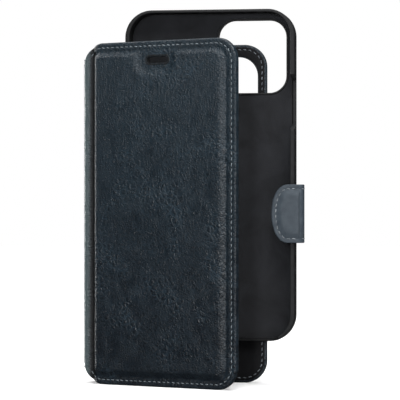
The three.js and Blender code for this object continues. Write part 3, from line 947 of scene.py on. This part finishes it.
def thin_plate(name, outline, normals, y0, y1, r, material):
    """A flat plate with rounded edges, given as a closed outline."""
    nearly = 0.3 * r
    section = [(r, y0), (nearly, y0 + nearly), (0, y0 + r),
               (0, y1 - r), (nearly, y1 - nearly), (r, y1)]
    loops = [facing_loop(outline, normals, inset, y) for inset, y in section]
    return loft(name, loops, [material])


def shell_sheet(name, node, layer, corner, edge, material):
    """A sheet bonded to the shell's floor, with the camera window cut out of it."""
    lo, hi = box_mm(node)
    outline, normals = rounded_loop(lo[0], hi[0], lo[2], hi[2], corner)
    piece = thin_plate(name, outline, normals, lo[1], hi[1], edge, material)
    grow = WINDOW_GROW[layer]
    cut(piece, window_cutter(SHELL_CORNER, grow, THROUGH_SHELL))
    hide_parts(node)
    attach(piece, "shell")


def shell_layers():
    shell_sheet("microfibre_lining", "shell_lining", "microfibre", TRAY_CORNER - 2.2, 0.18,
                MICROFIBRE)
    shell_sheet("shell_leather_skin", "shell_back_skin", "skin", TRAY_CORNER - 0.8, 0.22,
                SKIN_LEATHER)


def window_trim():
    """A moulded lip round the camera window, on the inside of the tray."""
    floor = SHELL_FLOOR
    section = [(0.0, floor + 1.0), (0.0, floor - 0.65), (0.12, floor - 0.8), (0.6, floor - 0.8),
               (0.8, floor - 0.55), (0.8, floor + 0.3)]
    outline, normals = window_loop(SHELL_CORNER, 0.0)
    loops = [facing_loop(outline, normals, -out, y) for out, y in section]
    piece = loft("camera_window_trim", loops, [SHELL_PLASTIC], closed_section=True)
    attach(piece, "shell")


# ---- clasp strap ----------------------------------------------------------------------------
STRAP_HALF_THICK = 0.75
STRAP_SEAM = 1.9
STRAP_RADII = (0.6, 2.0, 1.0, 2.0, 0.6)
STRAP_NODES = [("strap_anchor",), ("strap_rear", "strap_side"), ("strap_front",), ("strap_fold",),
               ("strap_tab",)]
STRAP_LOW, STRAP_HIGH = strap_lo[2], strap_hi[2]
STRAP_MIDDLE = (STRAP_LOW + STRAP_HIGH) / 2
STRAP_HALF_WIDTH = (STRAP_HIGH - STRAP_LOW) / 2
# The strap's outline is carried on by this much past an end that isn't round.
BEYOND = 9
ANCHOR_START = box_mm("strap_anchor")[0][0]
ANCHOR_ROUND = 6.0
TAB_LENGTH = STRAP_FOLDS[4][0] - box_mm("strap_tab_leather")[0][0]
TAB_ROUND = 7.4
TAB_PAD = 0.55


def round_end_height(k, half, power):
    """Half the height of a round end: k goes from 0 where it starts to 1 at its tip."""
    return half * (1 - np.clip(k, 0, 1) ** power) ** (1 / power)


def tab_half_height(s, inset=0.0):
    """Half the tab's height at a distance past its lift line."""
    k = (s - (TAB_LENGTH - TAB_ROUND)) / (TAB_ROUND - inset)
    return round_end_height(k, STRAP_HALF_WIDTH - inset, 2.15)


def anchor_half_height(s, inset=0.0):
    """Half the root's height: round at its inner end."""
    start = ANCHOR_START - STRAP_FOLDS[0][0]
    k = (start + ANCHOR_ROUND - s) / (ANCHOR_ROUND - inset)
    return round_end_height(k, STRAP_HALF_WIDTH - inset, 2.3)


def even_half_height(s, inset=0.0):
    return 0 * s + STRAP_HALF_WIDTH - inset


def around_middle(half_height):
    def heights(s):
        half = np.maximum(half_height(s), 0.35)
        return STRAP_MIDDLE - half, STRAP_MIDDLE + half
    return heights


def straight_heights(s):
    return np.full(len(s), STRAP_LOW), np.full(len(s), STRAP_HIGH)


def there_and_back(s, half):
    """A line along the strap's lower side and back along its upper side."""
    lower = np.column_stack([s, STRAP_MIDDLE - half])
    return np.vstack([lower, np.column_stack([s, STRAP_MIDDLE + half])[::-1]])


def strap_outline(half_height, s0, s1, round_end):
    before = 0 if round_end == "before" else BEYOND
    after = 0 if round_end == "after" else BEYOND
    s = np.linspace(s0 - before, s1 + after, 90)
    return there_and_back(s, np.maximum(half_height(s), 0))


def strap_faces(outline, pad):
    """The strap's outer face and its back, as offsets from the middle line."""
    def outer(s, z):
        depth = depth_in_outline(s, z, outline)
        groove = 0.1 * bump(depth - STRAP_SEAM, 0.35)
        return STRAP_HALF_THICK - edge_drop(depth, 0.45) - groove + pad(s, depth)

    def under(s, z):
        return -STRAP_HALF_THICK + edge_drop(depth_in_outline(s, z, outline), 0.3)
    return outer, under


def side_seams(k, base, s0, s1, surface):
    """The sewn lines along both sides of a length of strap."""
    s = np.linspace(s0 + 0.2, s1 - 0.2, 40)
    made = []
    for sign, side in ((-1, "low"), (1, "high")):
        path = np.column_stack([s, STRAP_MIDDLE + sign * even_half_height(s, STRAP_SEAM)])
        made.append(stitches(f"{base}_stitches_{side}", surface, path, DARK_THREAD, 60 + 2 * k + sign))
    return made


def round_seam(k, base, s0, s1, surface, half_height, round_end):
    """The sewn line of a round end: the outline drawn smaller."""
    tab = round_end == "after"
    ends = (s0 + 0.2, s1 - STRAP_SEAM) if tab else (s1 - 0.2, s0 + STRAP_SEAM)
    s = np.linspace(*ends, 120)
    path = there_and_back(s, half_height(s, STRAP_SEAM))
    sewn = stitches(base + "_stitches", surface, path, STRAP_THREAD, 80 + k)
    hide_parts("strap_tab_thread" if tab else "strap_anchor_thread")
    return [sewn]


def strap_piece(k, s0, s1, bend, half_height, pad, round_end):
    """One length of strap across a fold: its leather, its lining and its sewn lines."""
    outer, under = strap_faces(strap_outline(half_height, s0, s1, round_end), pad)
    start = (0, 0.06, 0.18, 0.4, 0.75, 1.2) if round_end == "before" else (0,)
    end = (0, 0.02, 0.08, 0.2, 0.4, 0.75, 1.2, 1.7) if round_end == "after" else (0,)
    columns = s0 + spaced(s1 - s0, 0.42, start, end)
    edge_rows = EDGE_STEPS[:14]
    rows = spaced(26, 0.6, edge_rows, edge_rows) / 26
    heights = straight_heights if round_end is None else around_middle(half_height)
    names = STRAP_NODES[k]
    base = names[-1]
    map_start = MAP_START["strap"] * k
    leather = strip(base + "_strap", bend, columns, heights, rows, outer, level(0.02),
                    [STRAP_LEATHER], map_start)
    back = strip(base + "_strap_back", bend, columns, heights, rows, level(-0.02), under,
                 [LINING_LEATHER], map_start)
    if k == 0:
        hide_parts("strap_anchor")
    else:
        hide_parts(*[n + "_leather" for n in names])
        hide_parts(*[n + "_lining" for n in names])
    surface = on_strip(bend, outer)
    if round_end is None:
        seams = side_seams(k, base, s0, s1, surface)
    else:
        seams = round_seam(k, base, s0, s1, surface, half_height, round_end)
    for piece in (leather, back, *seams):
        blend_fold(piece)


def no_pad(s, depth):
    return 0.0 * s


def tab_pad(s, depth):
    """The padding over the clasp magnet: flat-topped, soft at its sides."""
    return TAB_PAD * smooth((depth - 1.7) / 3.0) + 0.12 * smooth(depth / 9)


def fold_pad(s, depth):
    """The same padding where it runs out over the fold."""
    return tab_pad(s, depth) * smooth((s + 1.9) / 3.2)


def clasp_strap():
    root, rear, side, front, lift = STRAP_FOLDS
    runs = [np.array([1.0, 0.0]), unit(rear - root), unit(side - rear), unit(front - side),
            unit(lift - front), unit(lift - front)]
    gaps = [float(np.linalg.norm(b - a)) for a, b in zip(STRAP_FOLDS[:-1], STRAP_FOLDS[1:])]
    lengths = [root[0] - ANCHOR_START, *gaps, TAB_LENGTH]
    shapes = {0: anchor_half_height, 4: tab_half_height}
    pads = {3: fold_pad, 4: tab_pad}
    round_ends = {0: "before", 4: "after"}
    for k, fold in enumerate(STRAP_FOLDS):
        bend = Bend(fold, runs[k], runs[k + 1], STRAP_RADII[k], 1)
        s0 = -lengths[k] if k == 0 else -lengths[k] / 2
        s1 = lengths[k + 1] if k == 4 else lengths[k + 1] / 2
        strap_piece(k, s0, s1, bend, shapes.get(k, even_half_height), pads.get(k, no_pad),
                    round_ends.get(k))


# ---- studio ---------------------------------------------------------------------------------
def studio():
    s = Shader("studio_floor", 0.8, specular=0.1)
    s.finish(s.ramp(s.noise(s.place(False), 0.01), (0.3, (0.86, 0.86, 0.86)), (0.7, (0.9, 0.9, 0.9))))
    reach = 4000.0
    points = [(x * reach, y * reach, 0.0) for x, y in ((-1, -1), (1, -1), (1, 1), (-1, 1))]
    floor = make_object("studio_floor", points, [(0, 1, 2, 3)], [s.material])
    floor.visible_glossy = False  # so that a bright floor doesn't veil the dark leather
    white_surround(0.05)
    bpy.context.scene.view_settings.view_transform = "Standard"


def white_surround(glow):
    """Beyond the floor it is white, and the surround itself gives only a little light."""
    world = bpy.data.worlds.new("studio")
    bpy.context.scene.world = world
    world.use_nodes = True
    tree = world.node_tree
    faint = tree.nodes["Background"]
    faint.inputs["Color"].default_value = (1, 1, 1, 1)
    faint.inputs["Strength"].default_value = glow
    seen = tree.nodes.new("ShaderNodeBackground")
    seen.inputs["Color"].default_value = (1, 1, 1, 1)
    choice = tree.nodes.new("ShaderNodeMixShader")
    path = tree.nodes.new("ShaderNodeLightPath")
    tree.links.new(path.outputs["Is Camera Ray"], choice.inputs[0])
    tree.links.new(faint.outputs[0], choice.inputs[1])
    tree.links.new(seen.outputs[0], choice.inputs[2])
    tree.links.new(choice.outputs[0], tree.nodes["World Output"].inputs["Surface"])


def softbox(name, place, target, size, power):
    lamp = bpy.data.lights.new(name, "AREA")
    lamp.shape = "RECTANGLE"
    lamp.size, lamp.size_y = size[0] * MM, size[1] * MM
    lamp.energy = power
    obj = add_to_scene(name, lamp)
    obj.location = Vector(place) * MM
    obj.rotation_euler = (Vector(target) - Vector(place)).to_track_quat("-Z", "Y").to_euler()


def lights():
    middle = (0, -5, 78)
    softbox("key", (-20, -1000, 240), middle, (120, 200), 5.5)
    softbox("side", (700, -520, 320), middle, (300, 420), 1.0)
    softbox("top", (160, -330, 560), (0, -20, 130), (240, 160), 2.4)
    softbox("left_rim", (-540, 300, 170), middle, (160, 500), 5.0)
    ceiling = bpy.data.lights.new("ceiling", "SUN")
    ceiling.energy = 3.8
    ceiling.angle = math.radians(50)
    add_to_scene("ceiling", ceiling)


def camera():
    """A long lens, level, a little to the right of the case."""
    azimuth = math.radians(8.8)
    distance, aside, rise = 1031.7, 9.07, 75.4
    data = bpy.data.cameras.new("camera")
    data.lens = 208.0
    data.sensor_width = 36.0
    data.shift_y = 0.032
    data.clip_end = 20.0
    obj = add_to_scene("camera", data)
    across = Vector((math.cos(azimuth), math.sin(azimuth), 0))
    toward = Vector((math.sin(azimuth), -math.cos(azimuth), 0))
    obj.location = (across * aside + toward * distance + Vector((0, 0, rise))) * MM
    obj.rotation_euler = (-toward).to_track_quat("-Z", "Y").to_euler()
    bpy.context.scene.camera = obj


# ---- the whole ------------------------------------------------------------------------------
dress_frame()
camera()
studio()
lights()
front_leather()
slot_binding()
back_leather()
lining("front_cover_lining", FRONT, ("front_lining", "spine_lining"))
lining("back_cover_lining", BACK, ("back_lining",))
cover_seams("front", FRONT, front_outer, 11)
cover_seams("back", BACK, back_outer, 13)
pockets()
shell_tray()
shell_layers()
window_trim()
clasp_strap()
